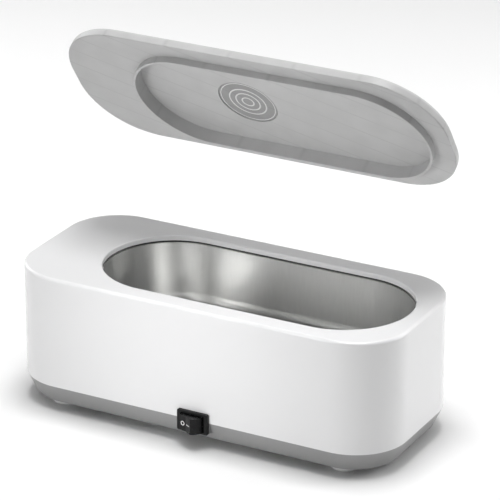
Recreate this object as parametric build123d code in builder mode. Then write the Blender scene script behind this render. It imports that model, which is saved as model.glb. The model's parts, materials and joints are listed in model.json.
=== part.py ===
from build123d import *
import os
from math import cos, pi, radians, sin, sqrt, tan

# Cordless ultrasonic cleaner: white housing, steel tank, grey base tray, rocker switch, lift-off lid.
# millimetres, +Z up, origin on the surface it stands on, below the middle of the housing
body_length = 200.0
body_width = 88.0
corner_radius = 26.5
foot_height = 3.0
tray_height = 10.0
housing_height = 56.0
wall = 2.2
deck_thickness = 2.5
deck_edge_radius = 1.5

opening_length = 158.0
opening_width = 68.0
opening_shift = 13.0
opening_edge_radius = 0.6

tank_wall = 0.8
tank_depth = 35.0
tank_ledge = 0.5
tank_bottom_radius = 9.0
flange_width = 4.5
gasket_thickness = 0.8
retainer_height = 9.4
retainer_gap = 0.3
retainer_ear = 3.0
ear_fit = 0.2
ear_margin = 0.4
ear_reach = 6.0
gasket_fit = 0.3
retainer_boss_radius = 2.8
retainer_boss_gap = 0.6
retainer_left_angle = 35.0
retainer_right_angle = 45.0
retainer_screw_radius = 1.2
retainer_screw_length = 9.0
retainer_head_radius = 2.4
retainer_head_height = 1.8
screw_bite = 0.02
cross_span = 1.2
cross_slot = 0.3
screw_hole_fit = 0.3

tray_taper = 25.0
tray_edge_radius = 1.5
tongue_height = 2.6
tongue_thickness = 1.0
tongue_gap = 0.1

foot_radius = 7.0
foot_x = 75.0
foot_y = 29.5
foot_recess = 0.6
case_boss_radius = 3.8
case_boss_height = 14.0
case_post_radius = 4.5
boss_rib = 2.0
case_screw_radius = 1.5
case_screw_length = 14.0
screw_head_radius = 2.7
screw_head_height = 2.0
case_bore_top = 8.0
case_hole_fit = 0.2
boss_tip_cover = 1.5
boss_seat_gap = 0.2
foot_fit = 0.05
foot_edge_radius = 1.2
foot_rim = 3.2
foot_dimple = 0.4
root = 0.1
edge_slack = 0.01

cell_radius = 7.25
cell_length = 50.5
cell_nub_radius = 2.7
cell_nub_length = 1.2
cell_count = 4
cell_pitch = 15.0
cell_gap = 0.35
bay_left = -66.0
bay_inner_length = 58.6
bay_wall = 1.5
bay_headroom = 0.5
contact_thickness = 0.5
contact_width = 11.0
contact_margin = 1.25
leaf_reach = 6.2
leaf_width = 4.0
leaf_thickness = 0.4
leaf_root = 5.0
leaf_tip = 1.2
cell_edge_radius = 0.6
tab_width = 3.0
tab_reach = 4.5
tab_fit = 0.1
tab_rise = 4.6

door_lower_thickness = 1.0
door_lip = 2.0
door_gap = 0.15
groove_overlap = 1.3
grip_count = 4
grip_length = 22.0
grip_width = 1.1
grip_pitch = 2.4
grip_depth = 0.5
grip_from_edge = 6.0

switch_x = 3.0
switch_drop = 0.5
bezel_length = 16.2
bezel_height = 10.4
bezel_thickness = 1.8
bezel_corner = 0.7
bezel_edge = 0.4
wedge_length = 4.8
wedge_height = 4.0
wedge_reach = 0.7
wedge_gap = 0.2
switch_body_length = 13.5
switch_body_height = 8.8
switch_body_depth = 12.0
switch_fit = 0.15
rocker_radius = 6.1
rocker_height = 7.8
rocker_depth = 3.0
rocker_gap = 0.2
rocker_pivot_depth = 1.0
rocker_half_angle = 38.0
rocker_tilt = 22.0
rocker_fold = 7.0
rocker_pin_radius = 0.9
pin_gap = 0.05
pin_cover = 0.6
pin_end_gap = 0.1
terminal_width = 4.8
terminal_thickness = 0.6
terminal_length = 7.0
terminal_x = 3.4
terminal_hole_radius = 0.8
terminal_hole_inset = 2.4

board_length = 53.0
board_width = 53.0
board_thickness = 1.6
board_left = 13.5
board_post_height = 4.0
board_post_inset = 3.5
board_post_radius = 2.8
board_corner = 2.0
board_hole_radius = 1.25
board_pilot_radius = 1.0
board_pilot_floor = 0.6
board_screw_length = 4.5
board_head_radius = 2.0
board_head_height = 1.4
connector_length = 8.0
connector_width = 5.0
connector_height = 6.0
connector_chamfer = 0.5
connector_key = 1.0
connector_pin = 2.0
connector_inset_x = 10.5
connector_inset_y = 6.5
chip_length = 9.6
chip_width = 6.4
chip_height = 3.3
chip_lift = 0.5
chip_chamfer = 0.4
chip_from_edge = 12.5
leg_pitch = 2.54
leg_width = 1.2
leg_thickness = 0.4
leg_spread = 0.6
can_radius = 4.0
can_height = 12.0
can_edge = 0.5
can_groove = 0.6
can_groove_up = 1.8
can_from_edge = 22.5
can_far_y = 17.0
can_near_y = 6.0
film_length = 13.0
film_width = 5.0
film_height = 9.0
film_edge = 0.8
film_from_edge = 26.5
film_y = -5.0
ring_radius = 9.0
ring_hole_radius = 4.5
ring_height = 8.0
ring_edge = 1.8
ring_from_edge = 38.5
ring_y = 12.0
sink_length = 18.0
sink_height = 13.0
sink_thickness = 2.0
sink_fin = 1.2
sink_fin_length = 7.0
sink_fin_count = 5
sink_from_edge = 31.5
sink_inset = 8.5
power_length = 10.0
power_thickness = 4.4
power_height = 9.0
power_lift = 3.0
power_chamfer = 0.6
power_leg_width = 0.8
power_leg_thickness = 0.5

plate_radius = 19.0
plate_thickness = 3.0
piezo_radius = 15.0
piezo_thickness = 2.6
plate_chamfer = 0.8
electrode_thickness = 0.15
electrode_margin = 1.5
solder_radius = 2.2
solder_height = 0.9
solder_slope = 30.0
solder_out = 6.0
earth_out_x = 9.0
earth_out_y = 14.0

lid_length = 199.0
lid_width = 80.0
lid_radius = 34.0
lid_thickness = 5.0
lid_edge_radius = 2.2
skirt_depth = 3.6
skirt_wall = 1.2
skirt_clearance = 1.6
pocket_depth = 3.2
badge_radius = 15.0
badge_thickness = 0.6
badge_recess = 0.9
badge_x = -7.0
badge_fit = 0.15
badge_edge = 0.2
skirt_edge = 0.35
lid_under_edge = 0.5
lid_root = 0.2
seat_gap = 0.15
lid_swing = 54.6
lid_pole_y = 85.0
lid_pole_z = 82.4

wire_radius = 0.7
wire_bend = 2.0
tight_bend = 1.6
wire_rise_low = 20.5
wire_rise = 22.0
wire_rise_high = 24.0
wire_rise_top = 26.5

# worked out from the sizes above
tray_bottom = foot_height
seam = tray_bottom + tray_height
deck_top = seam + housing_height
deck_under = deck_top - deck_thickness
front = -body_width / 2
floor_top = tray_bottom + wall
opening_left = opening_shift - opening_length / 2
opening_right = opening_shift + opening_length / 2
tank_length = opening_length - 2 * tank_ledge
tank_width = opening_width - 2 * tank_ledge
flange_top = deck_under - gasket_thickness
tank_floor = deck_top - tank_depth - deck_thickness
tank_under = tank_floor - tank_wall
flange_length = tank_length + 2 * (tank_wall + flange_width)
flange_total_width = tank_width + 2 * (tank_wall + flange_width)
retainer_top = flange_top - tank_wall
retainer_bottom = retainer_top - retainer_height
cell_z = floor_top + cell_gap + cell_radius
bay_ceiling = cell_z + cell_radius + bay_headroom
bay_width = cell_count * cell_pitch
bay_right = bay_left + bay_width
bay_x = (bay_left + bay_right) / 2
bay_half = bay_inner_length / 2
switch_z = seam - switch_drop
pivot_y = front - bezel_thickness + rocker_pivot_depth
board_bottom = floor_top + board_post_height
board_top = board_bottom + board_thickness
board_x = board_left + board_length / 2
piezo_under = tank_under - plate_thickness - piezo_thickness
inner_radius = corner_radius - wall
end_centre = (opening_length - opening_width) / 2
boss_reach = flange_total_width / 2 + retainer_boss_radius + retainer_boss_gap
boss_turns = [(1, retainer_right_angle), (-1, retainer_left_angle)]
retainer_boss_places = [
    (
        opening_shift + end * (end_centre + boss_reach * cos(radians(angle))),
        side * boss_reach * sin(radians(angle)),
    )
    for end, angle in boss_turns
    for side in (1, -1)
]

os.makedirs("parts", exist_ok=True)


def save(piece, label):
    piece.part.label = label
    export_step(piece.part, f"parts/{label}.step")


def stadium(length, width):
    return RectangleRounded(length, width, width / 2 - edge_slack)


def corner_places(x, y):
    return [(i * x, j * y) for i in (-1, 1) for j in (-1, 1)]


# ---- upper housing: deck, tank opening, case bosses and retainer bosses

with BuildPart() as upper_housing:
    with BuildSketch(Plane.XY.offset(seam)):
        RectangleRounded(body_length, body_width, corner_radius)
    extrude(amount=housing_height)
    fillet(upper_housing.edges().group_by(Axis.Z)[-1], deck_edge_radius)
    with BuildSketch(Plane.XY.offset(seam)):
        RectangleRounded(body_length - 2 * wall, body_width - 2 * wall, inner_radius)
    extrude(amount=deck_under - seam, mode=Mode.SUBTRACT)
    with BuildSketch(Plane.XY.offset(deck_under)):
        with Locations((opening_shift, 0)):
            stadium(opening_length, opening_width)
    extrude(amount=deck_thickness, mode=Mode.SUBTRACT)
    rim_edges = upper_housing.edges().group_by(Axis.Z)[-1].filter_by_position(
        Axis.Y, -opening_width / 2 - edge_slack, opening_width / 2 + edge_slack
    ).filter_by_position(Axis.X, opening_left - edge_slack, opening_right + edge_slack)
    fillet(rim_edges, opening_edge_radius)
    with BuildSketch(Plane.XY.offset(seam)):
        groove = wall - tongue_thickness - tongue_gap
        RectangleRounded(body_length - 2 * groove, body_width - 2 * groove, corner_radius - groove)
        RectangleRounded(
            body_length - 4 * wall, body_width - 4 * wall, corner_radius - 2 * wall, mode=Mode.SUBTRACT
        )
    extrude(amount=tongue_height + tongue_gap, mode=Mode.SUBTRACT)
    for x, y in corner_places(foot_x, foot_y):
        side_x = 1 if x > 0 else -1
        side_y = 1 if y > 0 else -1
        with BuildSketch(Plane.XY.offset(seam + tongue_height + tongue_gap)):
            # each rib runs from its boss into the rounded corner of the wall
            from_centre_x = abs(x) - body_length / 2 + corner_radius
            from_centre_y = abs(y) - body_width / 2 + corner_radius
            rib_end_x = abs(x) - from_centre_x + sqrt(inner_radius**2 - from_centre_y**2) + wall / 3
            rib_end_y = abs(y) - from_centre_y + sqrt(inner_radius**2 - from_centre_x**2) + wall / 3
            with Locations((x, (y + side_y * rib_end_y) / 2)):
                Rectangle(boss_rib, rib_end_y - abs(y))
            with Locations(((x + side_x * rib_end_x) / 2, y)):
                Rectangle(rib_end_x - abs(x), boss_rib)
        extrude(amount=case_boss_height - tongue_height)
        with BuildSketch(Plane.XY.offset(seam + boss_seat_gap)):
            with Locations((x, y)):
                Circle(case_boss_radius)
        extrude(amount=case_boss_height)
    with BuildSketch(Plane.XY.offset(seam)):
        with Locations(*corner_places(foot_x, foot_y)):
            Circle(case_screw_radius)
    extrude(amount=case_boss_height - boss_tip_cover, mode=Mode.SUBTRACT)
    with BuildSketch(Plane.XY.offset(retainer_bottom + retainer_ear)):
        with Locations(*retainer_boss_places):
            Circle(retainer_boss_radius)
    extrude(amount=deck_under - retainer_bottom - retainer_ear)
    with BuildSketch(Plane.XY.offset(retainer_bottom)):
        with Locations(*retainer_boss_places):
            Circle(retainer_screw_radius)
    extrude(amount=retainer_screw_length + boss_tip_cover, mode=Mode.SUBTRACT)
    with BuildSketch(Plane.XY.offset(seam)):
        with Locations((switch_x, front)):
            Rectangle(switch_body_length + 2 * switch_fit, 4 * wall)
    extrude(amount=switch_z + switch_body_height / 2 + switch_fit - seam, mode=Mode.SUBTRACT)
save(upper_housing, "upper_housing")

# ---- tank: deep-drawn steel tub hanging by its flange under the deck
with BuildPart() as tank_inside:
    with BuildSketch(Plane.XY.offset(tank_floor)):
        with Locations((opening_shift, 0)):
            stadium(tank_length, tank_width)
    extrude(amount=deck_top - tank_floor)
    fillet(tank_inside.edges().group_by(Axis.Z)[0], tank_bottom_radius - tank_wall)

with BuildPart() as tank:
    with BuildSketch(Plane.XY.offset(tank_under)):
        with Locations((opening_shift, 0)):
            stadium(tank_length + 2 * tank_wall, tank_width + 2 * tank_wall)
    extrude(amount=flange_top - tank_under)
    fillet(tank.edges().group_by(Axis.Z)[0], tank_bottom_radius)
    with BuildSketch(Plane.XY.offset(flange_top - tank_wall)):
        with Locations((opening_shift, 0)):
            stadium(flange_length, flange_total_width)
    extrude(amount=tank_wall)
    add(tank_inside.part, mode=Mode.SUBTRACT)
save(tank, "tank")

with BuildPart() as tank_gasket:
    with BuildSketch(Plane.XY.offset(flange_top)):
        with Locations((opening_shift, 0)):
            stadium(flange_length, flange_total_width)
    extrude(amount=gasket_thickness)
    with BuildSketch(Plane.XY.offset(flange_top)):
        with Locations((opening_shift, 0)):
            stadium(opening_length + 2 * gasket_fit, opening_width + 2 * gasket_fit)
    extrude(amount=gasket_thickness, mode=Mode.SUBTRACT)
save(tank_gasket, "tank_gasket")

around_tank = tank_wall + retainer_gap
with BuildPart() as tank_retainer:
    with BuildSketch(Plane.XY.offset(retainer_bottom)):
        with Locations((opening_shift, 0)):
            stadium(flange_length, flange_total_width)
    extrude(amount=retainer_height)
    with BuildSketch(Plane.XY.offset(retainer_bottom)):
        for x, y in retainer_boss_places:
            end_x = opening_shift + (end_centre if x > opening_shift else -end_centre)
            inward = 1 - ear_reach / 2 / boss_reach
            with Locations((x, y), (end_x + (x - end_x) * inward, y * inward)):
                Circle(retainer_boss_radius + ear_margin)
    extrude(amount=retainer_ear - ear_fit)
    with BuildSketch(Plane.XY.offset(retainer_bottom)):
        with Locations((opening_shift, 0)):
            stadium(tank_length + 2 * around_tank, tank_width + 2 * around_tank)
    extrude(amount=retainer_height, mode=Mode.SUBTRACT)
    with BuildSketch(Plane.XY.offset(retainer_bottom)):
        with Locations(*retainer_boss_places):
            Circle(retainer_screw_radius + screw_hole_fit)
    extrude(amount=retainer_ear, mode=Mode.SUBTRACT)
save(tank_retainer, "tank_retainer")


def pan_screw(place, shank_radius, shank_length, head_radius, head_height):
    """A pan-head screw pointing up, its head's seat at the given place."""
    x, y, z = place
    with BuildPart() as screw:
        with BuildSketch(Plane.XY.offset(z - head_height)):
            with Locations((x, y)):
                Circle(head_radius)
        extrude(amount=head_height)
        fillet(screw.edges().group_by(Axis.Z)[0], head_height / 3)
        with BuildSketch(Plane.XY.offset(z)):
            with Locations((x, y)):
                Circle(shank_radius)
        extrude(amount=shank_length)
        chamfer(screw.edges().group_by(Axis.Z)[-1], shank_radius / 3)
        with BuildSketch(Plane.XY.offset(z - head_height)):
            with Locations((x, y)):
                Rectangle(head_radius * cross_span, head_radius * cross_slot)
                Rectangle(head_radius * cross_slot, head_radius * cross_span)
        extrude(amount=head_height / 2, mode=Mode.SUBTRACT)
    return screw.part


def save_group(solids, label):
    group = Compound(label=label, children=solids)
    export_step(group, f"parts/{label}.step")


save_group(
    [
        pan_screw(
            (x, y, retainer_bottom),
            retainer_screw_radius - screw_bite,
            retainer_screw_length,
            retainer_head_radius,
            retainer_head_height,
        )
        for x, y in retainer_boss_places
    ],
    "retainer_screws",
)
save_group(
    [
        pan_screw(
            (x, y, case_bore_top),
            case_screw_radius - screw_bite,
            case_screw_length,
            screw_head_radius,
            screw_head_height,
        )
        for x, y in corner_places(foot_x, foot_y)
    ],
    "case_screws",
)

# ---- ultrasonic transducer bonded under the tank floor
with BuildPart() as transducer_plate:
    with BuildSketch(Plane.XY.offset(tank_under - plate_thickness)):
        with Locations((opening_shift, 0)):
            Circle(plate_radius)
    extrude(amount=plate_thickness)
    chamfer(transducer_plate.edges().group_by(Axis.Z)[0], plate_chamfer)
save(transducer_plate, "transducer_plate")

with BuildPart() as piezo_disc:
    with BuildSketch(Plane.XY.offset(piezo_under)):
        with Locations((opening_shift, 0)):
            Circle(piezo_radius)
    extrude(amount=piezo_thickness)
save(piezo_disc, "piezo_disc")

solder_x = opening_shift + solder_out
solder_y = solder_out
with BuildPart() as piezo_electrode:
    with BuildSketch(Plane.XY.offset(piezo_under - electrode_thickness)):
        with Locations((opening_shift, 0)):
            Circle(piezo_radius - electrode_margin)
    extrude(amount=electrode_thickness)
    with BuildSketch(Plane.XY.offset(piezo_under - electrode_thickness)):
        with Locations((solder_x, solder_y)):
            Circle(solder_radius)
    extrude(amount=-solder_height, taper=solder_slope)
save(piezo_electrode, "piezo_electrode")

cell_x = [bay_left + cell_pitch * (i + 0.5) for i in range(cell_count)]
tab_z = cell_z + tab_rise

# ---- base tray: tapered shell with posts, switch pad, battery bay and door groove
bay_outer_length = bay_width + 2 * bay_wall
bay_outer_width = bay_inner_length + 2 * bay_wall
groove_x = bay_width / 2 + groove_overlap
door_end = bay_half + door_lip

with BuildPart() as tray_block:
    with BuildSketch(Plane.XY.offset(seam)):
        RectangleRounded(body_length, body_width, corner_radius)
    extrude(amount=-tray_height, taper=tray_taper)
    fillet(tray_block.edges().group_by(Axis.Z)[0], tray_edge_radius)

with BuildPart() as base_tray:
    add(tray_block.part)
    with BuildSketch(Plane.XY.offset(seam)):
        RectangleRounded(body_length - 2 * wall, body_width - 2 * wall, inner_radius)
    extrude(amount=-(tray_height - wall), taper=tray_taper, mode=Mode.SUBTRACT)
    with BuildSketch(Plane.XY.offset(seam - wall)):
        tongue_out = wall - tongue_thickness
        RectangleRounded(
            body_length - 2 * tongue_out, body_width - 2 * tongue_out, corner_radius - tongue_out
        )
        tongue_in = wall + 2 * root
        RectangleRounded(
            body_length - 2 * tongue_in,
            body_width - 2 * tongue_in,
            corner_radius - tongue_in,
            mode=Mode.SUBTRACT,
        )
    extrude(amount=wall + tongue_height)
    # switch pad, flush with the front wall
    with BuildSketch(Plane.XY.offset(switch_z - bezel_height / 2)):
        with Locations((switch_x, front + wall)):
            Rectangle(bezel_length, 2 * wall)
    extrude(amount=seam - switch_z + bezel_height / 2)
    # posts for the case screws and the board
    with BuildSketch(Plane.XY.offset(floor_top - root)):
        with Locations(*corner_places(foot_x, foot_y)):
            Circle(case_post_radius)
    extrude(amount=seam - floor_top + root)
    board_posts = [
        (board_x + i * (board_length / 2 - board_post_inset), j * (board_width / 2 - board_post_inset))
        for i in (-1, 1)
        for j in (-1, 1)
    ]
    with BuildSketch(Plane.XY.offset(floor_top - root)):
        with Locations(*board_posts):
            Circle(board_post_radius)
    extrude(amount=board_post_height + root)
    # battery bay
    with BuildSketch(Plane.XY.offset(floor_top - root)):
        with Locations((bay_x, 0)):
            Rectangle(bay_outer_length, bay_outer_width)
    extrude(amount=bay_ceiling + bay_wall - floor_top + root)
    upright_edges = base_tray.edges().filter_by(Axis.Z).filter_by_position(Axis.Z, floor_top, bay_ceiling)
    bay_edges = upright_edges.filter_by_position(
        Axis.X, bay_left - bay_wall - edge_slack, bay_right + bay_wall + edge_slack
    ).filter_by_position(Axis.Y, -bay_half - bay_wall - edge_slack, bay_half + bay_wall + edge_slack)
    fillet(bay_edges, bay_wall / 2)
    with BuildSketch(Plane.XY.offset(tray_bottom)):
        with Locations((bay_x, 0)):
            Rectangle(bay_width, bay_inner_length)
    extrude(amount=bay_ceiling - tray_bottom, mode=Mode.SUBTRACT)
    # door groove, open to the rear
    with BuildSketch(Plane.XY.offset(tray_bottom + door_lower_thickness)):
        with Locations((bay_x, (body_width / 2 - door_end) / 2)):
            Rectangle(2 * groove_x, body_width / 2 + door_end)
    extrude(amount=floor_top - tray_bottom - door_lower_thickness, mode=Mode.SUBTRACT)
    with BuildSketch(Plane.XY.offset(tray_bottom)):
        with Locations((bay_x, (body_width / 2 - door_end) / 2)):
            Rectangle(bay_width - 2 * groove_overlap, body_width / 2 + door_end)
    extrude(amount=door_lower_thickness, mode=Mode.SUBTRACT)
    # holes: case screws, foot seats, board screws, switch cut-out
    with BuildSketch(Plane.XY.offset(tray_bottom)):
        with Locations(*corner_places(foot_x, foot_y)):
            Circle(case_screw_radius + case_hole_fit)
    extrude(amount=tray_height, mode=Mode.SUBTRACT)
    with BuildSketch(Plane.XY.offset(tray_bottom)):
        with Locations(*corner_places(foot_x, foot_y)):
            Circle(screw_head_radius + screw_hole_fit)
    extrude(amount=case_bore_top - tray_bottom, mode=Mode.SUBTRACT)
    with BuildSketch(Plane.XY.offset(tray_bottom)):
        with Locations(*corner_places(foot_x, foot_y)):
            Circle(foot_radius + foot_fit)
    extrude(amount=foot_recess, mode=Mode.SUBTRACT)
    with BuildSketch(Plane.XY.offset(floor_top + board_pilot_floor)):
        with Locations(*board_posts):
            Circle(board_pilot_radius)
    extrude(amount=board_post_height, mode=Mode.SUBTRACT)
    with BuildSketch(Plane.XY.offset(switch_z - switch_body_height / 2 - switch_fit)):
        with Locations((switch_x, front)):
            Rectangle(switch_body_length + 2 * switch_fit, 6 * wall)
    extrude(amount=switch_body_height + tongue_height, mode=Mode.SUBTRACT)
    with BuildSketch(Plane.XY.offset(tab_z - tab_fit)):
        with Locations(*[(x, -bay_half - bay_wall / 2) for x in (cell_x[0], cell_x[-1])]):
            Rectangle(tab_width + 2 * tab_fit, 2 * bay_wall)
    extrude(amount=contact_thickness + 2 * tab_fit, mode=Mode.SUBTRACT)
save(base_tray, "base_tray")

# ---- battery door: sliding plate with side tongues, flush with the tray's rear slope
with BuildPart() as battery_door:
    with BuildSketch(Plane.XY.offset(tray_bottom)):
        with Locations((bay_x, (body_width / 2 - door_end + door_gap) / 2)):
            Rectangle(bay_width - 2 * groove_overlap - 2 * door_gap, body_width / 2 + door_end - door_gap)
    extrude(amount=door_lower_thickness + door_gap)
    with BuildSketch(Plane.XY.offset(tray_bottom + door_lower_thickness + door_gap)):
        with Locations((bay_x, (body_width / 2 - door_end + door_gap) / 2)):
            Rectangle(2 * groove_x - 2 * door_gap, body_width / 2 + door_end - door_gap)
    extrude(amount=floor_top - tray_bottom - door_lower_thickness - 2 * door_gap)
    add(tray_block.part, mode=Mode.INTERSECT)
    with BuildSketch(Plane.XY.offset(tray_bottom)):
        with Locations(*[(bay_x, bay_half - grip_from_edge + grip_pitch * i) for i in range(grip_count)]):
            SlotOverall(grip_length, grip_width)
    extrude(amount=grip_depth, mode=Mode.SUBTRACT)
save(battery_door, "battery_door")

# ---- feet
foot_labels = ["foot_left_front", "foot_left_rear", "foot_right_front", "foot_right_rear"]
for (x, y), label in zip(corner_places(foot_x, foot_y), foot_labels):
    with BuildPart() as foot:
        with BuildSketch(Plane.XY):
            with Locations((x, y)):
                Circle(foot_radius)
        extrude(amount=foot_height + foot_recess)
        fillet(foot.edges().group_by(Axis.Z)[0], foot_edge_radius)
        with BuildSketch(Plane.XY):
            with Locations((x, y)):
                Circle(foot_radius - foot_rim)
        extrude(amount=foot_dimple, mode=Mode.SUBTRACT)
    save(foot, label)

# ---- cells, laid front to back with alternating ends
contact_y = bay_half - contact_thickness
for i, x in enumerate(cell_x):
    turn = 1 if i % 2 == 0 else -1
    with BuildPart() as cell:
        with BuildSketch(Plane.XZ.offset(-turn * (contact_y - cell_nub_length))):
            with Locations((x, cell_z)):
                Circle(cell_radius)
        extrude(amount=turn * (cell_length - cell_nub_length))
        fillet(cell.edges(), cell_edge_radius)
        with BuildSketch(Plane.XZ.offset(-turn * contact_y)):
            with Locations((x, cell_z)):
                Circle(cell_nub_radius)
        extrude(amount=turn * cell_nub_length)
    save(cell, f"battery_cell_{i + 1}")


def contact_plate(centre_x, width, side, leaf_places, tab_places=()):
    """A flat contact against one end wall of the bay, with a bent leaf for each flat cell end."""
    with BuildPart() as contact:
        with BuildSketch(Plane.XZ.offset(-side * bay_half)):
            with Locations((centre_x, cell_z)):
                Rectangle(width, 2 * (cell_radius - contact_margin))
        extrude(amount=side * contact_thickness)
        for x in leaf_places:
            base = side * contact_y
            tip = base - side * leaf_reach
            with BuildSketch(Plane.YZ.offset(x - leaf_width / 2)):
                with BuildLine():
                    Polyline(
                        (base, cell_z - leaf_root),
                        (tip, cell_z - leaf_tip),
                        (tip, cell_z + leaf_tip),
                        (base - side * 3 * leaf_thickness, cell_z + leaf_root),
                        (base - side * 2 * leaf_thickness, cell_z + leaf_root),
                        (tip + side * leaf_thickness, cell_z + leaf_tip - leaf_thickness),
                        (tip + side * leaf_thickness, cell_z - leaf_tip + leaf_thickness),
                        (base, cell_z - leaf_root + 2 * leaf_thickness),
                        close=True,
                    )
                make_face()
            extrude(amount=leaf_width)
        if tab_places:
            with BuildSketch(Plane.XY.offset(tab_z)):
                with Locations(*[(x, side * (contact_y + tab_reach / 2)) for x in tab_places]):
                    Rectangle(tab_width, tab_reach)
            extrude(amount=contact_thickness)
    return contact.part


pair = cell_pitch + contact_width
save_group(
    [
        contact_plate((cell_x[0] + cell_x[1]) / 2, pair, 1, [cell_x[1]]),
        contact_plate((cell_x[2] + cell_x[3]) / 2, pair, 1, [cell_x[3]]),
    ],
    "battery_contacts_rear",
)
save_group(
    [
        contact_plate(cell_x[0], contact_width, -1, [cell_x[0]], [cell_x[0]]),
        contact_plate((cell_x[1] + cell_x[2]) / 2, pair, -1, [cell_x[2]]),
        contact_plate(cell_x[3], contact_width, -1, [], [cell_x[3]]),
    ],
    "battery_contacts_front",
)

# ---- rocker switch on the seam of the front wall
with BuildPart() as switch_housing:
    with BuildSketch(Plane.XZ.offset(-front)):
        with Locations((switch_x, switch_z)):
            RectangleRounded(bezel_length, bezel_height, bezel_corner)
    extrude(amount=bezel_thickness)
    fillet(switch_housing.edges().group_by(Axis.Y)[0], bezel_edge)
    with BuildSketch(Plane.XZ.offset(-front)):
        with Locations((switch_x, switch_z)):
            Rectangle(switch_body_length, switch_body_height)
    extrude(amount=-switch_body_depth)
    with BuildSketch(Plane.XY.offset(switch_z - rocker_height / 2 - rocker_gap)):
        with Locations((switch_x, pivot_y)):
            Circle(rocker_radius + rocker_gap)
        with Locations((switch_x, pivot_y - rocker_radius / 2)):
            Rectangle(2 * (rocker_radius + rocker_gap), rocker_radius)
    extrude(amount=rocker_height + 2 * rocker_gap, mode=Mode.SUBTRACT)
    with BuildSketch(Plane.XY.offset(switch_z - bezel_height / 2 + pin_cover)):
        with Locations((switch_x, pivot_y)):
            Circle(rocker_pin_radius)
    extrude(amount=bezel_height - 2 * pin_cover, mode=Mode.SUBTRACT)
    with BuildSketch(Plane.XY.offset(switch_z - wedge_height / 2)):
        for i in (-1, 1):
            with BuildLine():
                edge = switch_x + i * switch_body_length / 2
                Polyline(
                    (edge - i * root, front + 2 * wall + wedge_gap + wedge_length),
                    (edge, front + 2 * wall + wedge_gap + wedge_length),
                    (edge + i * wedge_reach, front + 2 * wall + wedge_gap),
                    (edge - i * root, front + 2 * wall + wedge_gap),
                    close=True,
                )
            make_face()
    extrude(amount=wedge_height)
save(switch_housing, "switch_housing")

rest_turn = radians(rocker_tilt)
with BuildPart() as switch_rocker:
    with BuildSketch(Plane.XY.offset(switch_z - rocker_height / 2)):
        with Locations((switch_x, pivot_y)):
            Circle(rocker_radius)
        chord = rocker_radius * cos(radians(rocker_half_angle))
        half = rocker_radius * sin(radians(rocker_half_angle))
        hollow = chord - half * tan(radians(rocker_fold))
        above = 2 * rocker_radius
        outline = [(-half, chord), (0, hollow), (half, chord), (2 * half, above), (-2 * half, above)]
        with BuildLine():
            Polyline(
                *[
                    (
                        switch_x + u * cos(rest_turn) - v * sin(rest_turn),
                        pivot_y - u * sin(rest_turn) - v * cos(rest_turn),
                    )
                    for u, v in outline
                ],
                close=True,
            )
        make_face(mode=Mode.SUBTRACT)
    extrude(amount=rocker_height)
    with BuildSketch(Plane.XY.offset(switch_z - rocker_height / 2)):
        with Locations((switch_x, pivot_y + rocker_depth + rocker_radius / 2)):
            Rectangle(3 * rocker_radius, rocker_radius)
    extrude(amount=rocker_height, mode=Mode.SUBTRACT)
    with BuildSketch(Plane.XY.offset(switch_z - bezel_height / 2 + pin_cover + pin_end_gap)):
        with Locations((switch_x, pivot_y)):
            Circle(rocker_pin_radius - pin_gap)
    extrude(amount=bezel_height - 2 * (pin_cover + pin_end_gap))
save(switch_rocker, "switch_rocker")

switch_back = front + switch_body_depth
terminals = []
for i in (-1, 1):
    with BuildPart() as terminal:
        with BuildSketch(Plane.XZ.offset(-switch_back)):
            with Locations((switch_x + i * terminal_x, switch_z)):
                Rectangle(terminal_thickness, terminal_width)
        extrude(amount=-terminal_length)
        with BuildSketch(Plane.YZ.offset(switch_x + i * terminal_x - terminal_thickness)):
            with Locations((switch_back + terminal_length - terminal_hole_inset, switch_z)):
                Circle(terminal_hole_radius)
        extrude(amount=2 * terminal_thickness, mode=Mode.SUBTRACT)
    terminals.append(terminal.part)
save_group(terminals, "switch_terminals")

# ---- driver board and its parts
with BuildPart() as circuit_board:
    with BuildSketch(Plane.XY.offset(board_bottom)):
        with Locations((board_x, 0)):
            RectangleRounded(board_length, board_width, board_corner)
        with Locations(*board_posts):
            Circle(board_hole_radius, mode=Mode.SUBTRACT)
    extrude(amount=board_thickness)
save(circuit_board, "circuit_board")
save_group(
    [
        pan_screw(
            (x, y, -board_top),
            board_pilot_radius - screw_bite,
            board_screw_length,
            board_head_radius,
            board_head_height,
        ).rotate(Axis((x, y, 0), (1, 0, 0)), 180)
        for x, y in board_posts
    ],
    "board_screws",
)

connector_x = board_left + connector_inset_x
connector_y = board_width / 2 - connector_inset_y
connector_top = board_top + connector_height
connectors = []
for side in (-1, 1):
    with BuildPart() as connector:
        with BuildSketch(Plane.XY.offset(board_top)):
            with Locations((connector_x, side * connector_y)):
                Rectangle(connector_length, connector_width)
        extrude(amount=connector_height)
        chamfer(connector.edges().filter_by(Axis.Z), connector_chamfer)
        with BuildSketch(Plane.XY.offset(board_top)):
            with Locations((connector_x, side * (connector_y + connector_width / 2))):
                Rectangle(connector_length / 2, connector_key)
        extrude(amount=connector_height - connector_key, mode=Mode.SUBTRACT)
    connectors.append(connector.part)
save_group(connectors, "wire_connectors")

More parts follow.
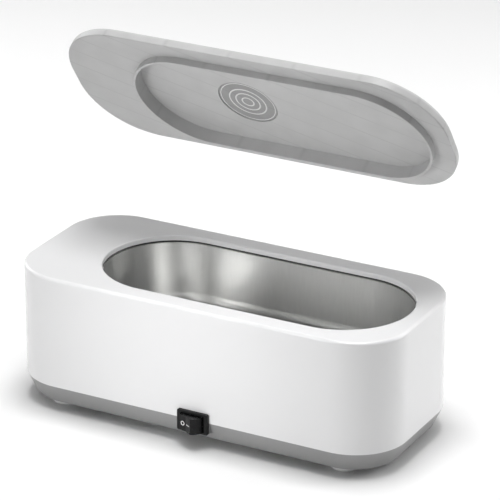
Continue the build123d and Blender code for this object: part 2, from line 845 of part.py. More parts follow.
chip_x = board_left + chip_from_edge
chip_middle = chip_lift + chip_height / 2
with BuildPart() as driver_chip:
    with BuildSketch(Plane.XY.offset(board_top + chip_lift)):
        with Locations((chip_x, 0)):
            Rectangle(chip_width, chip_length)
    extrude(amount=chip_height)
    chamfer(driver_chip.edges().group_by(Axis.Z)[-1], chip_chamfer)
    with BuildSketch(Plane.XY.offset(board_top)):
        with Locations((chip_x, 0)):
            with GridLocations(chip_width + 2 * leg_spread, leg_pitch, 2, 4):
                Rectangle(leg_thickness, leg_width)
    extrude(amount=chip_middle + leg_thickness / 2)
    with BuildSketch(Plane.XY.offset(board_top + chip_middle - leg_thickness / 2)):
        with Locations((chip_x, 0)):
            with GridLocations(chip_width + leg_spread, leg_pitch, 2, 4):
                Rectangle(leg_spread + leg_thickness, leg_width)
    extrude(amount=leg_thickness)
save(driver_chip, "driver_chip")

capacitors = []
x = board_left + can_from_edge
for y in (can_far_y, can_near_y):
    with BuildPart() as capacitor:
        with BuildSketch(Plane.XY.offset(board_top)):
            with Locations((x, y)):
                Circle(can_radius)
        extrude(amount=can_height)
        fillet(capacitor.edges(), can_edge)
        with Locations((x, y, board_top + can_groove_up)):
            Torus(can_radius + can_groove / 2, can_groove, mode=Mode.SUBTRACT)
    capacitors.append(capacitor.part)
save_group(capacitors, "electrolytic_capacitors")

with BuildPart() as film_capacitor:
    with BuildSketch(Plane.XY.offset(board_top)):
        with Locations((board_left + film_from_edge, film_y)):
            Rectangle(film_length, film_width)
    extrude(amount=film_height)
    fillet(film_capacitor.edges().filter_by(Axis.Z) + film_capacitor.edges().group_by(Axis.Z)[-1], film_edge)
save(film_capacitor, "film_capacitor")

with BuildPart() as toroid_inductor:
    with BuildSketch(Plane.XY.offset(board_top)):
        with Locations((board_left + ring_from_edge, ring_y)):
            Circle(ring_radius)
            Circle(ring_hole_radius, mode=Mode.SUBTRACT)
    extrude(amount=ring_height)
    fillet(toroid_inductor.edges(), ring_edge)
save(toroid_inductor, "toroid_inductor")

sink_x = board_left + sink_from_edge
sink_y = -board_width / 2 + sink_inset
power_y = sink_y + (sink_thickness + power_thickness) / 2
with BuildPart() as heat_sink:
    with BuildSketch(Plane.XY.offset(board_top)):
        with Locations((sink_x, sink_y)):
            Rectangle(sink_length, sink_thickness)
        with Locations((sink_x, sink_y - sink_fin_length / 2)):
            with GridLocations((sink_length - sink_fin) / (sink_fin_count - 1), 0, sink_fin_count, 1):
                Rectangle(sink_fin, sink_fin_length)
    extrude(amount=sink_height)
save(heat_sink, "heat_sink")

with BuildPart() as power_transistor:
    with BuildSketch(Plane.XY.offset(board_top + power_lift)):
        with Locations((sink_x, power_y)):
            Rectangle(power_length, power_thickness)
    extrude(amount=power_height)
    chamfer(power_transistor.edges().group_by(Axis.Y)[-1], power_chamfer)
    with BuildSketch(Plane.XY.offset(board_top)):
        with Locations((sink_x, power_y)):
            with GridLocations(leg_pitch, 0, 3, 1):
                Rectangle(power_leg_width, power_leg_thickness)
    extrude(amount=power_lift + root)
save(power_transistor, "power_transistor")


def wire(points, bends):
    """A round wire of straight runs joined by arcs."""
    with BuildPart() as strand:
        with BuildLine() as path:
            FilletPolyline(*points, radius=bends)
        with BuildSketch(Plane(origin=path.line @ 0, z_dir=path.line % 0)):
            Circle(wire_radius)
        sweep()
    run = sum(edge.length for edge in path.edges())
    section = pi * wire_radius**2
    print("wire volume", round(strand.part.volume, 2), "section times length", round(section * run, 2))
    return strand.part


tab_y = -contact_y - tab_reach + 2 * wire_radius
tab_top = tab_z + contact_thickness
terminal_y = switch_back + terminal_length - terminal_hole_inset
terminal_top = switch_z + terminal_width / 2
save_group(
    [
        wire(
            [
                (cell_x[3], tab_y, tab_top),
                (cell_x[3], tab_y, wire_rise_high),
                (switch_x - terminal_x, terminal_y, wire_rise_high),
                (switch_x - terminal_x, terminal_y, terminal_top),
            ],
            wire_bend,
        ),
        wire(
            [
                (cell_x[0], tab_y, tab_top),
                (cell_x[0], tab_y, wire_rise_top),
                (connector_x + connector_pin, -connector_y, wire_rise_top),
                (connector_x + connector_pin, -connector_y, connector_top),
            ],
            wire_bend,
        ),
    ],
    "battery_wires",
)
save_group(
    [
        wire(
            [
                (switch_x + terminal_x, terminal_y, terminal_top),
                (switch_x + terminal_x, terminal_y, wire_rise),
                (connector_x - connector_pin, -connector_y, wire_rise),
                (connector_x - connector_pin, -connector_y, connector_top),
            ],
            wire_bend,
        )
    ],
    "switch_wire",
)
earth_x = opening_shift + earth_out_x
earth_y = earth_out_y
save_group(
    [
        wire(
            [
                (connector_x - connector_pin, connector_y, connector_top),
                (connector_x - connector_pin, connector_y, wire_rise_low),
                (solder_x, solder_y, wire_rise_low),
                (solder_x, solder_y, piezo_under - electrode_thickness - solder_height),
            ],
            tight_bend,
        ),
        wire(
            [
                (connector_x + connector_pin, connector_y, connector_top),
                (connector_x + connector_pin, connector_y, wire_rise),
                (earth_x, earth_y, wire_rise),
                (earth_x, earth_y, tank_under - plate_thickness),
            ],
            wire_bend,
        ),
    ],
    "transducer_wires",
)

# ---- lid: drawn held clear above the housing, tipped back by the same angle its swing covers
swing = radians(lid_swing)
closed_y = -lid_pole_y
closed_z = deck_top + seat_gap - lid_pole_z
lid_plane = Plane(
    origin=(
        0,
        lid_pole_y + closed_y * cos(swing) + closed_z * sin(swing),
        lid_pole_z - closed_y * sin(swing) + closed_z * cos(swing),
    ),
    x_dir=(1, 0, 0),
    z_dir=(0, sin(swing), cos(swing)),
)
skirt_length = opening_length - 2 * skirt_clearance
skirt_width = opening_width - 2 * skirt_clearance
with BuildPart() as lid:
    with BuildSketch(Plane.XY):
        RectangleRounded(lid_length, lid_width, lid_radius)
    extrude(amount=lid_thickness)
    fillet(lid.edges().group_by(Axis.Z)[-1], lid_edge_radius)
    fillet(lid.edges().group_by(Axis.Z)[0], lid_under_edge)
    with BuildSketch(Plane.XY.offset(-skirt_depth)):
        with Locations((opening_shift, 0)):
            stadium(skirt_length, skirt_width)
    extrude(amount=skirt_depth + lid_root)
    fillet(lid.edges().group_by(Axis.Z)[0], skirt_edge)
    with BuildSketch(Plane.XY.offset(-skirt_depth)):
        with Locations((opening_shift, 0)):
            stadium(skirt_length - 2 * skirt_wall, skirt_width - 2 * skirt_wall)
    extrude(amount=skirt_depth + pocket_depth, mode=Mode.SUBTRACT)
    with BuildSketch(Plane.XY.offset(pocket_depth)):
        with Locations((badge_x, 0)):
            Circle(badge_radius + badge_fit)
    extrude(amount=badge_recess, mode=Mode.SUBTRACT)
lid_placed = lid_plane.from_local_coords(lid.part)
lid_placed.label = "lid"
export_step(lid_placed, "parts/lid.step")
with BuildPart() as lid_badge:
    with BuildSketch(Plane.XY.offset(pocket_depth + badge_recess)):
        with Locations((badge_x, 0)):
            Circle(badge_radius)
    extrude(amount=-badge_thickness)
    fillet(lid_badge.edges().group_by(Axis.Z)[0], badge_edge)
badge_placed = lid_plane.from_local_coords(lid_badge.part)
badge_placed.label = "lid_badge"
export_step(badge_placed, "parts/lid_badge.step")
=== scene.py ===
import json
import math

import bmesh
import bpy
from mathutils import Matrix, Vector


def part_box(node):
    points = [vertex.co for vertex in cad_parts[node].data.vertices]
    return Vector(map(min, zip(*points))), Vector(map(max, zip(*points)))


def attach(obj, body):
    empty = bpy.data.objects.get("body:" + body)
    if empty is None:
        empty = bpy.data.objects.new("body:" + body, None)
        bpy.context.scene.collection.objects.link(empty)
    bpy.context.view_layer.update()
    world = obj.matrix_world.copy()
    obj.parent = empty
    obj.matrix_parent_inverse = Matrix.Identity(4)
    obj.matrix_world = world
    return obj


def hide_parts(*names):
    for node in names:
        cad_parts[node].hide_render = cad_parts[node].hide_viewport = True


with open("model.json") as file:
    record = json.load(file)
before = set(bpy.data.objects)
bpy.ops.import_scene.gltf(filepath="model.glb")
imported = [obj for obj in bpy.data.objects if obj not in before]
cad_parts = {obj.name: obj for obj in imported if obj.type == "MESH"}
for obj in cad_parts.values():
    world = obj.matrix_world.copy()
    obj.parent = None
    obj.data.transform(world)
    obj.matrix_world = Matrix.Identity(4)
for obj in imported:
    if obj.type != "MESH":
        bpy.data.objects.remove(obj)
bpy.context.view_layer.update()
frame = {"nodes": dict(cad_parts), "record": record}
mm = 0.001
noiseMiddle = 0.5  # the value that a noise swings about
joints = {joint["name"]: joint for joint in frame["record"]["behaviour"]["joints"]}
print("frame loaded")


class Flow:
    # a shader socket that can stand in plain arithmetic
    def __init__(self, tree, socket):
        self.tree = tree
        self.socket = socket

    def maths(self, operation, first, second):
        node = self.tree.nodes.new("ShaderNodeMath")
        node.operation = operation
        for place, value in enumerate((first, second)):
            if isinstance(value, Flow):
                self.tree.links.new(value.socket, node.inputs[place])
            else:
                node.inputs[place].default_value = value
        return Flow(self.tree, node.outputs[0])

    def __add__(self, other):
        return self.maths("ADD", self, other)

    def __radd__(self, other):
        return self.maths("ADD", other, self)

    def __sub__(self, other):
        return self.maths("SUBTRACT", self, other)

    def __rsub__(self, other):
        return self.maths("SUBTRACT", other, self)

    def __mul__(self, other):
        return self.maths("MULTIPLY", self, other)

    def __rmul__(self, other):
        return self.maths("MULTIPLY", other, self)

    def __truediv__(self, other):
        return self.maths("DIVIDE", self, other)

    def __rtruediv__(self, other):
        return self.maths("DIVIDE", other, self)


class Finish:
    # one material and its node tree
    def __init__(self, name):
        self.material = bpy.data.materials.new(name)
        self.material.use_nodes = True
        self.tree = self.material.node_tree
        self.tree.nodes.clear()

    def node(self, kind, settings=None, sockets=None, result=0):
        made = self.tree.nodes.new(kind)
        for key, value in (settings or {}).items():
            if key == "stops":
                ramp = made.color_ramp
                while len(ramp.elements) < len(value):
                    ramp.elements.new(1.0)
                for stop, (place, shade) in zip(ramp.elements, value):
                    stop.position = place
                    stop.color = (*shade, 1.0)
            else:
                setattr(made, key, value)
        for key, value in (sockets or {}).items():
            if isinstance(value, Flow):
                self.tree.links.new(value.socket, made.inputs[key])
            elif isinstance(value, tuple) and len(value) == 3 and made.inputs[key].type == "RGBA":
                made.inputs[key].default_value = (*value, 1.0)
            else:
                made.inputs[key].default_value = value
        return Flow(self.tree, made.outputs[result]) if len(made.outputs) else None

    def place(self):
        return self.node("ShaderNodeTexCoord", result=3)

    def along(self, axis):
        # one coordinate: 0 is x, 1 is y, 2 is z
        return self.node("ShaderNodeSeparateXYZ", {}, {0: self.place()}, axis)

    def stretched(self, scale):
        return self.node("ShaderNodeMapping", {}, {"Vector": self.place(), "Scale": scale})

    def noise(self, scale, detail=3.0, vector=None, rough=0.5):
        sockets = {"Vector": vector or self.place(), "Scale": scale, "Detail": detail, "Roughness": rough}
        return self.node("ShaderNodeTexNoise", {}, sockets)

    def ramp(self, value, stops):
        return self.node("ShaderNodeValToRGB", {"stops": stops}, {"Fac": value})

    def blendColours(self, amount, first, second):
        return self.node("ShaderNodeMix", {"data_type": "RGBA"}, {0: amount, 6: first, 7: second}, 2)

    def bump(self, height, depth):
        return self.node("ShaderNodeBump", {}, {"Height": height, "Distance": depth, "Strength": 1.0})

    def close(self, **sockets):
        named = {key.replace("_", " "): value for key, value in sockets.items()}
        shader = self.node("ShaderNodeBsdfPrincipled", {}, named)
        self.node("ShaderNodeOutputMaterial", {}, {"Surface": shader})
        return self.material


def shaded(colour, factor):
    return tuple(min(1.0, part * factor) for part in colour)


# what all mouldings share: the ramp's ends on the noise, how much finer smears are than drift, and the
# depth of scatter
moulding = {"from": 0.3, "to": 0.7, "smearFiner": 3, "scatterDepth": 0.004}


def mouldedPlastic(name, look):
    made = Finish(name)
    drift = made.noise(look["driftScale"], detail=2.0)
    dark = shaded(look["colour"], 1 - look["drift"])
    colour = made.ramp(drift, [(moulding["from"], dark), (moulding["to"], look["colour"])])
    grain = made.noise(look["grainScale"], detail=2.0)
    smear = made.noise(look["driftScale"] * moulding["smearFiner"])
    return made.close(
        Base_Color=colour, Roughness=look["roughness"] + (smear - noiseMiddle) * look["smear"],
        Normal=made.bump(grain, look["grainDepth"]), Specular_IOR_Level=look.get("specular", 0.5),
        Subsurface_Weight=look.get("scatter", 0.0), Subsurface_Radius=(moulding["scatterDepth"],) * 3,
        Coat_Weight=look.get("coat", 0.0), Coat_Roughness=look.get("coatRoughness", 0.1),
    )


# what all drawn metals share: the ramp's ends, how dark its low end is, and the swing in roughness
drawn = {"from": 0.3, "to": 0.7, "dark": 0.93, "fineSwing": 0.06, "broadSwing": 0.05}


def drawnSteel(name, look):
    made = Finish(name)
    fine = made.noise(look["lineScale"], detail=4.0, vector=made.stretched(look["stretch"]))
    broad = made.noise(look["broadScale"], detail=2.0)
    dark = shaded(look["colour"], drawn["dark"])
    colour = made.ramp(fine * 0.5 + broad * 0.5, [(drawn["from"], dark), (drawn["to"], look["colour"])])
    swing = (fine - noiseMiddle) * drawn["fineSwing"]
    roughness = look["roughness"] + swing + (broad - noiseMiddle) * drawn["broadSwing"]
    normal = made.bump(fine, look["depth"])
    return made.close(Base_Color=colour, Metallic=1.0, Roughness=roughness, Normal=normal)


# what all rubbers share: the ramp's ends, the swing in roughness, depth of scatter and the coat's roughness
rubber = {"from": 0.35, "to": 0.75, "swing": 0.2, "scatterDepth": 0.003, "coatRoughness": 0.15}


def softRubber(name, look):
    made = Finish(name)
    bloom = made.noise(look["bloomScale"], detail=4.0)
    pale = shaded(look["colour"], look["bloom"])
    colour = made.ramp(bloom, [(rubber["from"], look["colour"]), (rubber["to"], pale)])
    grain = made.noise(look["grainScale"], detail=2.0)
    return made.close(
        Base_Color=colour, Roughness=look["roughness"] + (bloom - noiseMiddle) * rubber["swing"],
        Normal=made.bump(grain, look["grainDepth"]),
        Subsurface_Weight=look.get("scatter", 0.0), Subsurface_Radius=(rubber["scatterDepth"],) * 3,
        Coat_Weight=look.get("coat", 0.0), Coat_Roughness=rubber["coatRoughness"],
    )


def wear(node, material):
    for slot in frame["nodes"][node].material_slots:
        slot.material = material


def newPiece(name, mesh, body, material):
    data = bpy.data.meshes.new(name)
    mesh.to_mesh(data)
    mesh.free()
    for face in data.polygons:
        face.use_smooth = True
    piece = bpy.data.objects.new(name, data)
    bpy.context.scene.collection.objects.link(piece)
    data.materials.append(material)
    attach(piece, body)
    return piece


def middle(node):
    low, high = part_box(node)
    return (low + high) / 2


def joinLoops(mesh, loops):
    # faces from each closed loop to the next, and from the last back to the first
    for first, second in zip(loops, loops[1:] + loops[:1]):
        for i in range(len(first)):
            j = (i + 1) % len(first)
            mesh.faces.new((first[i], second[i], second[j], first[j]))


def flatRing(mesh, centre, radius, line, low, high, steps):
    # a band of rectangular section round the vertical through centre
    near, far = radius - line / 2, radius + line / 2
    loops = []
    for distance, level in ((near, low), (near, high), (far, high), (far, low)):
        loop = []
        for i in range(steps):
            turn = 2 * math.pi * i / steps
            spot = (centre.x + distance * math.cos(turn), centre.y + distance * math.sin(turn), level)
            loop.append(mesh.verts.new(spot))
        loops.append(loop)
    joinLoops(mesh, loops)


# housing
housing = {
    "colour": (0.83, 0.83, 0.835), "roughness": 0.24, "smear": 0.05, "drift": 0.015, "driftScale": 9.0,
    "grainScale": 1400.0, "grainDepth": 0.000012, "coat": 0.25, "coatRoughness": 0.12, "scatter": 0.05,
}
wear("upper_housing", mouldedPlastic("whiteMoulding", housing))
print("housing")

# tray and door
tray = {
    "colour": (0.305, 0.305, 0.305), "roughness": 0.42, "smear": 0.08, "drift": 0.05, "driftScale": 14.0,
    "grainScale": 2200.0, "grainDepth": 0.00003,
}
trayFinish = mouldedPlastic("greyMoulding", tray)
wear("base_tray", trayFinish)
wear("battery_door", trayFinish)
print("tray and door")

# lid: smooth grey with faint slanting lines, and a darker badge; lineEvery is in mm, lineWidth its share
lid = {
    "colour": (0.50, 0.50, 0.50), "badge": 0.62, "streak": 0.03, "streakScale": 90.0, "streakRough": 0.4,
    "streakFrom": 0.35, "streakTo": 0.65, "roughness": 0.38, "roughSwing": 0.1, "specular": 0.3,
    "grainScale": 1600.0, "grainDepth": 0.00001,
    "lineEvery": 12.0, "lineWidth": 0.05, "line": 0.10, "lineTurn": 21.0,
}


def lidMoulding(name, look, factor):
    made = Finish(name)
    tilt = math.radians(joints["lid_lift"]["range_deg"][1])
    turn = math.radians(look["lineTurn"])
    x, y, z = (made.along(axis) for axis in range(3))
    down = y * math.cos(tilt) - z * math.sin(tilt)  # across the lid, from its front edge to its rear edge
    lines = (down * math.cos(turn) - x * math.sin(turn)) / (look["lineEvery"] * mm)
    offLine = made.node("ShaderNodeMath", {"operation": "PINGPONG"}, {0: lines, 1: 0.5})  # 0 on a line
    nearLine = made.ramp(offLine, [(0.0, (1.0, 1.0, 1.0)), (look["lineWidth"], (0.0, 0.0, 0.0))])
    streak = made.noise(look["streakScale"], detail=2.0, rough=look["streakRough"])
    base = shaded(look["colour"], factor)
    low, high = shaded(base, 1 - look["streak"]), shaded(base, 1 + look["streak"])
    plain = made.ramp(streak, [(look["streakFrom"], low), (look["streakTo"], high)])
    lineTone = shaded(base, 1 - look["line"] / noiseMiddle)  # the streaks break the line up, which halves it
    return made.close(
        Base_Color=made.blendColours(nearLine * streak, plain, lineTone),
        Roughness=look["roughness"] + (streak - noiseMiddle) * look["roughSwing"],
        Normal=made.bump(made.noise(look["grainScale"], detail=2.0), look["grainDepth"]),
        Specular_IOR_Level=look["specular"],
    )


wear("lid", lidMoulding("lidMoulding", lid, 1.0))
wear("lid_badge", lidMoulding("badgeMoulding", lid, lid["badge"]))
print("lid")

# badge: plain ripple rings where a mark would be, in mm
badge = {
    "rings": (3.0, 6.2, 9.4), "line": 0.75, "rim": 13.9, "rimLine": 0.5, "height": 0.12, "halfThick": 0.3,
    "steps": 96,
}
lidJoint = joints["lid_lift"]
pole = Vector(lidJoint["pos_m"])
tipBack = (
    Matrix.Translation(pole)
    @ Matrix.Rotation(-math.radians(lidJoint["range_deg"][1]), 4, "X")
    @ Matrix.Translation(-pole)
)
badgeMiddle = tipBack.inverted() @ middle("lid_badge")
badgeFace = badgeMiddle.z - badge["halfThick"] * mm
ringFace = badgeFace - badge["height"] * mm
rings = bmesh.new()
circles = [(radius, badge["line"]) for radius in badge["rings"]] + [(badge["rim"], badge["rimLine"])]
for radius, line in circles:
    flatRing(rings, badgeMiddle, radius * mm, line * mm, ringFace, badgeFace, badge["steps"])
rings.transform(tipBack)
bmesh.ops.recalc_face_normals(rings, faces=rings.faces)
paleInk = mouldedPlastic("paleInk", {
    "colour": (0.74, 0.74, 0.74), "roughness": 0.4, "smear": 0.05, "drift": 0.03, "driftScale": 60.0,
    "grainScale": 3000.0, "grainDepth": 0.000008})
newPiece("badgeRipple", rings, "lid", paleInk)
print("badge")

# tank
tank = {
    "colour": (0.80, 0.80, 0.79), "roughness": 0.30, "lineScale": 900.0, "stretch": (1.0, 1.0, 0.12),
    "broadScale": 30.0, "depth": 0.0000012,
}
wear("tank", drawnSteel("drawnTank", tank))

# feet
feet = {
    "colour": (0.80, 0.80, 0.80), "roughness": 0.2, "bloomScale": 90.0, "bloom": 1.1, "grainScale": 900.0,
    "grainDepth": 0.000008, "scatter": 0.6, "coat": 0.5,
}
footFinish = softRubber("clearFoot", feet)
for side in ("left", "right"):
    for end in ("front", "rear"):
        wear(f"foot_{side}_{end}", footFinish)
print("tank and feet")

# switch
switch = {
    "colour": (0.004, 0.004, 0.0045), "roughness": 0.36, "smear": 0.1, "drift": 0.2, "driftScale": 200.0,
    "grainScale": 4000.0, "grainDepth": 0.00001, "specular": 0.22,
}
wear("switch_housing", mouldedPlastic("switchBlack", switch))
wear("switch_rocker", mouldedPlastic("rockerBlack", dict(switch, roughness=0.26)))

# marks, in mm and degrees: the face is two flats, each folded in from a chord of the rocker's round
marks = {
    "radius": 0.95, "line": 0.34, "dash": 2.2, "away": 1.9, "height": 0.07, "sunk": 0.1, "steps": 48,
    "rockerRadius": 6.1, "chordHalfAngle": 38.0, "fold": 7.0,
}
rockerJoint = joints["rocker_tip"]
pivot = Vector(rockerJoint["pos_m"])


def onRocker(side):
    # from a mark's own plane (x right, y up, z out) to one half of the rocker's face
    fold = math.radians(marks["fold"])
    halfAngle = math.radians(marks["chordHalfAngle"])
    half = marks["rockerRadius"] * math.sin(halfAngle)
    chord = marks["rockerRadius"] * math.cos(halfAngle)
    out = chord - (half - marks["away"]) * math.tan(fold)
    stand = Matrix.Rotation(math.pi / 2, 4, "X")
    spot = Vector((side * marks["away"], -out, 0)) * mm
    face = Matrix.Translation(spot) @ Matrix.Rotation(-side * fold, 4, "Z")
    lean = math.radians(rockerJoint["range_deg"][1] / 2)  # at rest it lies at one end of its throw
    tip = Matrix.Rotation(-lean, 4, "Z")
    return Matrix.Translation(pivot) @ tip @ face @ stand


markInk = mouldedPlastic("markInk", {
    "colour": (0.85, 0.85, 0.85), "roughness": 0.45, "smear": 0.05, "drift": 0.05, "driftScale": 300.0,
    "grainScale": 5000.0, "grainDepth": 0.000006})
offMark = bmesh.new()
flatRing(offMark, Vector((0, 0, 0)), marks["radius"] * mm, marks["line"] * mm,
         -marks["sunk"] * mm, marks["height"] * mm, marks["steps"])
offMark.transform(onRocker(-1))
bmesh.ops.recalc_face_normals(offMark, faces=offMark.faces)
newPiece("switchOffMark", offMark, "rocker", markInk)
onMark = bmesh.new()
bmesh.ops.create_cube(onMark, size=1.0)
dashSize = Vector((marks["dash"], marks["line"], marks["height"] + marks["sunk"])) * mm
bmesh.ops.scale(onMark, vec=dashSize, verts=onMark.verts)
onMark.transform(onRocker(1))
newPiece("switchOnMark", onMark, "rocker", markInk)
print("switch")

# what is inside: each node's kind of finish and its colour
insideKinds = {
    "plastic": (mouldedPlastic, {
        "roughness": 0.38, "smear": 0.12, "drift": 0.12, "driftScale": 120.0, "grainScale": 2600.0,
        "grainDepth": 0.00001}),
    "rubber": (softRubber, {
        "roughness": 0.5, "bloomScale": 160.0, "bloom": 1.2, "grainScale": 2000.0, "grainDepth": 0.00001}),
    "metal": (drawnSteel, {
        "roughness": 0.32, "lineScale": 900.0, "stretch": (1.0, 1.0, 0.2), "broadScale": 120.0,
        "depth": 0.000004}),
}
inside = {
    "tank_gasket": ("rubber", (0.02, 0.02, 0.02)),
    "tank_retainer": ("plastic", (0.62, 0.62, 0.60)),
    "piezo_disc": ("plastic", (0.52, 0.46, 0.34)),
    "driver_chip": ("plastic", (0.02, 0.02, 0.022)),
    "film_capacitor": ("plastic", (0.30, 0.06, 0.03)),
    "electrolytic_capacitors": ("plastic", (0.02, 0.03, 0.10)),
    "power_transistor": ("plastic", (0.022, 0.022, 0.022)),
    "wire_connectors": ("plastic", (0.68, 0.66, 0.58)),
    "battery_wires": ("rubber", (0.42, 0.012, 0.01)),
    "switch_wire": ("rubber", (0.02, 0.02, 0.02)),
    "transducer_wires": ("rubber", (0.55, 0.38, 0.02)),
    "retainer_screws": ("metal", (0.55, 0.55, 0.57)),
    "case_screws": ("metal", (0.55, 0.55, 0.57)),
    "board_screws": ("metal", (0.60, 0.60, 0.58)),
    "transducer_plate": ("metal", (0.72, 0.72, 0.73)),
    "piezo_electrode": ("metal", (0.80, 0.80, 0.79)),
    "battery_contacts_front": ("metal", (0.66, 0.64, 0.58)),
    "battery_contacts_rear": ("metal", (0.66, 0.64, 0.58)),
    "switch_terminals": ("metal", (0.66, 0.52, 0.26)),
    "heat_sink": ("metal", (0.05, 0.05, 0.055)),
}
for node, (kind, colour) in inside.items():
    make, look = insideKinds[kind]
    wear(node, make(node + "Finish", dict(look, colour=colour)))

# cells: black film with a copper-coloured band at the front end; a metre of length is perMetre of the ramp
cells = {
    "count": 4, "perMetre": 18.0, "bandTo": 0.28, "filmFrom": 0.30,
    "band": (0.42, 0.20, 0.07), "bandEdge": (0.40, 0.19, 0.07), "film": (0.02, 0.02, 0.025),
    "filmEnd": (0.025, 0.025, 0.03), "scuffScale": 300.0, "scuff": 0.15, "scuffColour": (0.2, 0.2, 0.2),
    "metallic": 0.35, "roughness": 0.28, "roughSwing": 0.1, "depth": 0.000006,
}


def cellJacket(look):
    made = Finish("cellJacket")
    along = made.along(1) * look["perMetre"] + 0.5
    scuff = made.noise(look["scuffScale"], detail=4.0)
    band = made.ramp(along, [
        (0.0, look["band"]), (look["bandTo"], look["bandEdge"]), (look["filmFrom"], look["film"]),
        (1.0, look["filmEnd"])])
    return made.close(
        Base_Color=made.blendColours(scuff * look["scuff"], band, look["scuffColour"]),
        Metallic=look["metallic"], Roughness=look["roughness"] + scuff * look["roughSwing"],
        Normal=made.bump(scuff, look["depth"]),
    )


jacket = cellJacket(cells)
for number in range(1, cells["count"] + 1):
    wear(f"battery_cell_{number}", jacket)

# board: green solder mask with lighter lines of track
board = {
    "trackScale": 60.0, "trackLine": 0.03, "stagger": 0.5, "mask": (0.012, 0.10, 0.04),
    "maskPale": (0.012, 0.12, 0.045), "track": (0.03, 0.24, 0.09), "cloudScale": 90.0, "cloud": 0.3,
    "cloudColour": (0.008, 0.07, 0.03), "roughness": 0.28, "roughSwing": 0.12, "depth": 0.00001, "coat": 0.3,
}


def boardMask(look):
    made = Finish("boardMask")
    tracks = made.node("ShaderNodeTexBrick", {"offset": look["stagger"]}, {
        "Vector": made.place(), "Scale": look["trackScale"], "Mortar Size": look["trackLine"],
        "Color1": look["mask"], "Color2": look["maskPale"], "Mortar": look["track"]})
    cloud = made.noise(look["cloudScale"])
    return made.close(
        Base_Color=made.blendColours(cloud * look["cloud"], tracks, look["cloudColour"]),
        Roughness=look["roughness"] + cloud * look["roughSwing"], Normal=made.bump(cloud, look["depth"]),
        Coat_Weight=look["coat"],
    )


wear("circuit_board", boardMask(board))

# inductor: ring core with copper turns in place of the plain solid; bore is a share of the outer radius
inductor = {
    "turns": 26, "wire": 0.5, "wireBevel": 3, "points": 20, "wrapped": 0.9, "coreGap": 0.9, "bore": 0.5,
    "corner": 6, "steps": 72, "sides": 28,
}
ringLow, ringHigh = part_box("toroid_inductor")
ringMiddle = middle("toroid_inductor")
outer = (ringHigh.x - ringLow.x) / 2
inner = outer * inductor["bore"]
deep = (ringHigh.z - ringLow.z) / 2
copper = drawnSteel("enamelledCopper", {
    "colour": (0.62, 0.24, 0.10), "roughness": 0.25, "lineScale": 900.0, "stretch": (1.0, 1.0, 0.3),
    "broadScale": 200.0, "depth": 0.000004})
ferrite = mouldedPlastic("ferriteCore", {
    "colour": (0.05, 0.12, 0.08), "roughness": 0.5, "smear": 0.1, "drift": 0.2, "driftScale": 150.0,
    "grainScale": 1800.0, "grainDepth": 0.00004})


def roundedSquare(angle, corner):
    # a point on a square of half side 1 with rounded corners, tighter as corner grows
    c, s = math.cos(angle), math.sin(angle)
    reach = (abs(c) ** corner + abs(s) ** corner) ** (-1 / corner)
    return c * reach, s * reach


def squareTorus(centre, nearRadius, farRadius, half, corner, steps, sides):
    # a ring whose section is a rounded rectangle
    mesh = bmesh.new()
    mid = (nearRadius + farRadius) / 2
    wide = (farRadius - nearRadius) / 2
    loops = []
    for i in range(steps):
        turn = 2 * math.pi * i / steps
        loop = []
        for k in range(sides):
            across, up = roundedSquare(2 * math.pi * k / sides, corner)
            distance = mid + wide * across
            x, y = centre.x + distance * math.cos(turn), centre.y + distance * math.sin(turn)
            loop.append(mesh.verts.new((x, y, centre.z + half * up)))
        loops.append(loop)
    joinLoops(mesh, loops)
    bmesh.ops.recalc_face_normals(mesh, faces=mesh.faces)
    return mesh


gap = inductor["coreGap"] * mm
coreMesh = squareTorus(ringMiddle, inner + gap, outer - gap, deep - gap,
                       inductor["corner"], inductor["steps"], inductor["sides"])
core = newPiece("inductorCore", coreMesh, "case", ferrite)
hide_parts("toroid_inductor")
wireHalf = inductor["wire"] * mm / 2
coil = bpy.data.curves.new("inductorTurns", "CURVE")
coil.dimensions = "3D"
coil.bevel_depth = wireHalf
coil.bevel_resolution = inductor["wireBevel"]
path = coil.splines.new("POLY")
total = inductor["turns"] * inductor["points"]
path.points.add(total - 1)
reachOut = (outer - inner) / 2 - wireHalf
reachUp = deep - wireHalf
for i in range(total):
    around = 2 * math.pi * inductor["wrapped"] * i / total
    across, up = roundedSquare(2 * math.pi * i / inductor["points"], inductor["corner"])
    distance = (outer + inner) / 2 + reachOut * across
    path.points[i].co = (
        ringMiddle.x + distance * math.cos(around), ringMiddle.y + distance * math.sin(around),
        ringMiddle.z + reachUp * up, 1.0)
turns = bpy.data.objects.new("inductorTurns", coil)
bpy.context.scene.collection.objects.link(turns)
coil.materials.append(copper)
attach(turns, "case")
print("inside")

# floor
floor = {
    "size": 8.0, "colour": (0.88, 0.88, 0.88), "roughness": 0.7, "specular": 0.2,
    "cloudScale": 1.5, "cloud": 0.99, "cloudFrom": 0.3, "cloudTo": 0.7,
}
ground = bmesh.new()
bmesh.ops.create_grid(ground, x_segments=1, y_segments=1, size=floor["size"] / 2)
groundData = bpy.data.meshes.new("studioFloor")
ground.to_mesh(groundData)
ground.free()
groundPiece = bpy.data.objects.new("studioFloor", groundData)
bpy.context.scene.collection.objects.link(groundPiece)
groundFinish = Finish("studioPaper")
dull = shaded(floor["colour"], floor["cloud"])
cloud = groundFinish.noise(floor["cloudScale"], detail=2.0)
paper = groundFinish.ramp(cloud, [(floor["cloudFrom"], dull), (floor["cloudTo"], floor["colour"])])
groundData.materials.append(groundFinish.close(
    Base_Color=paper, Roughness=floor["roughness"], Specular_IOR_Level=floor["specular"]))


def bearing(azimuth, elevation):
    # the way out from the object; azimuth 0 is straight in front of it, and 90 is to its right
    a, e = math.radians(azimuth), math.radians(elevation)
    return Vector((math.sin(a) * math.cos(e), -math.cos(a) * math.cos(e), math.sin(e)))


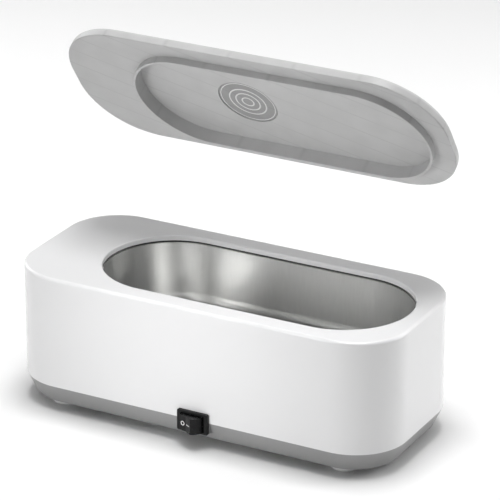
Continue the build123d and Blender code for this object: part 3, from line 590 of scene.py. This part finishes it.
# lights: each stands off from one point over the tank and faces it; power in watts, spread in degrees
studio = {"aim": (0.01, 0.0, 0.08), "air": 0.02}
lights = {
    "softTop": {
        "azimuth": 0, "elevation": 90, "distance": 1.5, "size": (0.6, 0.6), "power": 17.5, "spread": 180},
    "ceiling": {
        "azimuth": 0, "elevation": 90, "distance": 3.5, "size": (5.0, 5.0), "power": 50.0, "spread": 180},
    "rearTop": {
        "azimuth": 180, "elevation": 50, "distance": 1.4, "size": (1.0, 0.8), "power": 2.4, "spread": 180},
    "leftSide": {
        "azimuth": -110, "elevation": 20, "distance": 0.9, "size": (0.4, 0.5), "power": 0.9, "spread": 120},
    "rightSide": {
        "azimuth": 130, "elevation": 20, "distance": 0.9, "size": (0.4, 0.5), "power": 1.5, "spread": 120},
    "frontSoft": {
        "azimuth": -15, "elevation": 8, "distance": 0.55, "size": (0.10, 0.25), "power": 0.06, "spread": 30},
    "frontLeft": {
        "azimuth": -32, "elevation": 8, "distance": 0.55, "size": (0.10, 0.25), "power": 0.02, "spread": 38},
}
for name, light in lights.items():
    data = bpy.data.lights.new(name, "AREA")
    data.shape = "RECTANGLE"
    data.size, data.size_y = light["size"]
    data.energy = light["power"]
    data.spread = math.radians(light["spread"])
    lamp = bpy.data.objects.new(name, data)
    bpy.context.scene.collection.objects.link(lamp)
    lamp.visible_camera = False
    away = bearing(light["azimuth"], light["elevation"])
    lamp.location = Vector(studio["aim"]) + away * light["distance"]
    lamp.rotation_mode = "QUATERNION"
    lamp.rotation_quaternion = (-away).to_track_quat("-Z", "Y")
world = bpy.data.worlds.new("studioAir")
world.use_nodes = True
background = world.node_tree.nodes["Background"]
background.inputs["Color"].default_value = (1.0, 1.0, 1.0, 1.0)
background.inputs["Strength"].default_value = studio["air"]
bpy.context.scene.world = world
bpy.context.scene.view_settings.view_transform = "Standard"
bpy.context.scene.view_settings.look = "None"

# camera
view = {
    "azimuth": 28.12, "elevation": 22.85, "distance": 1.4987, "target": (0.00905, 0.0, 0.084),
    "lens": 230.5, "sensor": 36.0, "roll": 0.15,
}
cameraData = bpy.data.cameras.new("studioCamera")
cameraData.sensor_width = view["sensor"]
cameraData.lens = view["lens"]
camera = bpy.data.objects.new("studioCamera", cameraData)
bpy.context.scene.collection.objects.link(camera)
away = bearing(view["azimuth"], view["elevation"])
camera.location = Vector(view["target"]) + away * view["distance"]
level = (-away).to_track_quat("-Z", "Y").to_matrix().to_4x4()
camera.rotation_mode = "QUATERNION"
camera.rotation_quaternion = (level @ Matrix.Rotation(math.radians(view["roll"]), 4, "Z")).to_quaternion()
bpy.context.scene.camera = camera
print("floor, lights and camera")
